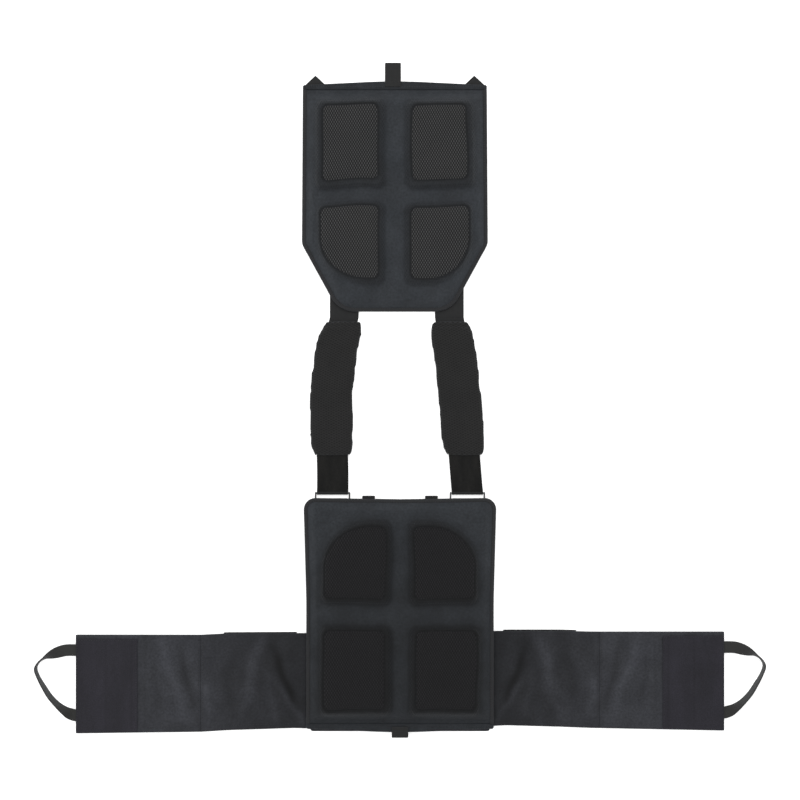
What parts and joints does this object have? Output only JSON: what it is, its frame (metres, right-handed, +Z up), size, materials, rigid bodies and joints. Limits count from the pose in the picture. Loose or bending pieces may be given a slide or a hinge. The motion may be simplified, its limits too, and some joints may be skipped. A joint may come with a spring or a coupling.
{
  "type": "back protector",
  "caption": "Plate-carrier style torso protector laid open: padded back and chest panels, shoulder straps with padded sleeves, and a wrap-round waist belt with pull handles.",
  "frame": {"origin": "middle of the underside of the box round the whole object laid open flat", "axes": "+Z up out of the inner faces, +Y from the back panel to the chest panel, +X along the belt to the right"},
  "size_m": [1.1366, 1.051, 0.028],
  "materials": {
    "shell_fabric": "charcoal woven nylon, matte",
    "liner_fabric": "charcoal smooth woven lining, matte",
    "binding_fabric": "brownish black woven edge tape, matte",
    "spacer_mesh": "black diamond spacer mesh",
    "foam": "fabric-covered moulded foam, charcoal, matte",
    "knit_mesh": "black padded knit mesh",
    "webbing": "dark grey woven webbing",
    "loop_tape": "near black brushed loop tape",
    "hook_tape": "dark slightly purple hook tape, matte",
    "belt_fabric": "charcoal woven nylon with soft wrinkles, matte",
    "handle_webbing": "dark grey light webbing",
    "armour_plate": "dark moulded plate, satin",
    "black_wire": "black gloss coated wire"
  },
  "bodies": {
    "back_panel": {"back_outer_shell": "shell_fabric", "back_inner_liner": "liner_fabric", "back_armour_plate": "armour_plate", "back_edge_binding": "binding_fabric", "back_pad_upper_left": "foam", "back_mesh_upper_left": "spacer_mesh", "back_pad_upper_right": "foam", "back_mesh_upper_right": "spacer_mesh", "back_pad_lower_left": "foam", "back_mesh_lower_left": "spacer_mesh", "back_pad_lower_right": "foam", "back_mesh_lower_right": "spacer_mesh", "ring_keeper_left": "webbing", "ring_keeper_right": "webbing", "cummerbund_sleeve": "shell_fabric", "cummerbund_centre": "belt_fabric", "cummerbund_grip_tape": "hook_tape"},
    "back_flap": {"back_closure_flap": "shell_fabric", "back_pull_tab": "webbing"},
    "drag_loop": {"drag_handle": "webbing"},
    "left_ring": {"strap_ring_left": "black_wire"},
    "left_strap": {"strap_webbing_left": "webbing", "strap_loop_tape_left": "loop_tape"},
    "left_pad": {"shoulder_pad_left": "knit_mesh"},
    "right_ring": {"strap_ring_right": "black_wire"},
    "right_strap": {"strap_webbing_right": "webbing", "strap_loop_tape_right": "loop_tape"},
    "right_pad": {"shoulder_pad_right": "knit_mesh"},
    "chest_panel": {"front_outer_shell": "shell_fabric", "front_inner_liner": "liner_fabric", "front_armour_plate": "armour_plate", "front_edge_binding": "binding_fabric", "front_pad_upper_left": "foam", "front_mesh_upper_left": "spacer_mesh", "front_pad_upper_right": "foam", "front_mesh_upper_right": "spacer_mesh", "front_pad_lower_left": "foam", "front_mesh_lower_left": "spacer_mesh", "front_pad_lower_right": "foam", "front_mesh_lower_right": "spacer_mesh", "front_loop_field": "loop_tape", "strap_anchor_left": "webbing", "strap_anchor_right": "webbing", "corner_tab_left": "webbing", "corner_tab_right": "webbing"},
    "front_flap": {"front_closure_flap": "shell_fabric", "front_pull_tab": "webbing"},
    "left_wing": {"wing_panel_left": "belt_fabric", "wing_outer_layer_left": "shell_fabric"},
    "left_wing_end": {"wing_end_left": "belt_fabric", "hook_tape_left": "hook_tape"},
    "left_handle": {"pull_handle_left": "handle_webbing"},
    "right_wing": {"wing_panel_right": "belt_fabric", "wing_outer_layer_right": "shell_fabric"},
    "right_wing_end": {"wing_end_right": "belt_fabric", "hook_tape_right": "hook_tape"},
    "right_handle": {"pull_handle_right": "handle_webbing"}
  },
  "joints": [
    {"name": "back_flap_fold", "type": "hinge", "parent": "back_panel", "child": "back_flap", "pos_m": [0, -0.505, 0.0093], "axis": [-1, 0, 0], "range_deg": [0, 100]},
    {"name": "drag_loop_swing", "type": "hinge", "parent": "back_panel", "child": "drag_loop", "pos_m": [0, -0.1497, 0.0042], "axis": [1, 0, 0], "range_deg": [0, 180]},
    {"name": "left_ring_tilt", "type": "hinge", "parent": "back_panel", "child": "left_ring", "pos_m": [-0.1052, -0.156, 0.0028], "axis": [1, 0, 0], "range_deg": [0, 15]},
    {"name": "right_ring_tilt", "type": "hinge", "parent": "back_panel", "child": "right_ring", "pos_m": [0.1052, -0.156, 0.0028], "axis": [1, 0, 0], "range_deg": [0, 15]},
    {"name": "left_strap_fold", "type": "hinge", "parent": "left_ring", "child": "left_strap", "pos_m": [-0.1052, -0.145, 0.0028], "axis": [1, 0, 0], "range_deg": [0, 90]},
    {"name": "right_strap_fold", "type": "hinge", "parent": "right_ring", "child": "right_strap", "pos_m": [0.1052, -0.145, 0.0028], "axis": [1, 0, 0], "range_deg": [0, 90]},
    {"name": "left_pad_slide", "type": "slide", "parent": "left_strap", "child": "left_pad", "axis": [0, -1, 0], "range_m": [0, 0.012]},
    {"name": "right_pad_slide", "type": "slide", "parent": "right_strap", "child": "right_pad", "axis": [0, -1, 0], "range_m": [0, 0.012]},
    {"name": "chest_panel_fold", "type": "hinge", "parent": "left_strap", "child": "chest_panel", "pos_m": [-0.087, 0.129, 0.0006], "axis": [1, 0, 0], "range_deg": [0, 90]},
    {"name": "front_flap_fold", "type": "hinge", "parent": "chest_panel", "child": "front_flap", "pos_m": [-0.008, 0.485, 0.0049], "axis": [1, 0, 0], "range_deg": [0, 100]},
    {"name": "left_wing_fold", "type": "hinge", "parent": "back_panel", "child": "left_wing", "pos_m": [-0.158, -0.44, 0.00295], "axis": [0, 1, 0], "range_deg": [0, 90]},
    {"name": "left_wing_wrap", "type": "hinge", "parent": "left_wing", "child": "left_wing_end", "pos_m": [-0.405, -0.44, 0.00295], "axis": [0, 1, 0], "range_deg": [0, 65]},
    {"name": "left_handle_swing", "type": "hinge", "parent": "left_wing_end", "child": "left_handle", "pos_m": [-0.508, -0.44, 0.00295], "axis": [0, 1, 0], "range_deg": [0, 60]},
    {"name": "right_wing_fold", "type": "hinge", "parent": "back_panel", "child": "right_wing", "pos_m": [0.158, -0.44, 0.00295], "axis": [0, -1, 0], "range_deg": [0, 90]},
    {"name": "right_wing_wrap", "type": "hinge", "parent": "right_wing", "child": "right_wing_end", "pos_m": [0.405, -0.44, 0.00295], "axis": [0, -1, 0], "range_deg": [0, 65]},
    {"name": "right_handle_swing", "type": "hinge", "parent": "right_wing_end", "child": "right_handle", "pos_m": [0.508, -0.44, 0.00295], "axis": [0, -1, 0], "range_deg": [0, 60]}
  ],
  "couplings": [
    {"joint": "right_ring_tilt", "follows": "left_ring_tilt", "ratio": 1},
    {"joint": "right_strap_fold", "follows": "left_strap_fold", "ratio": 1}
  ]
}
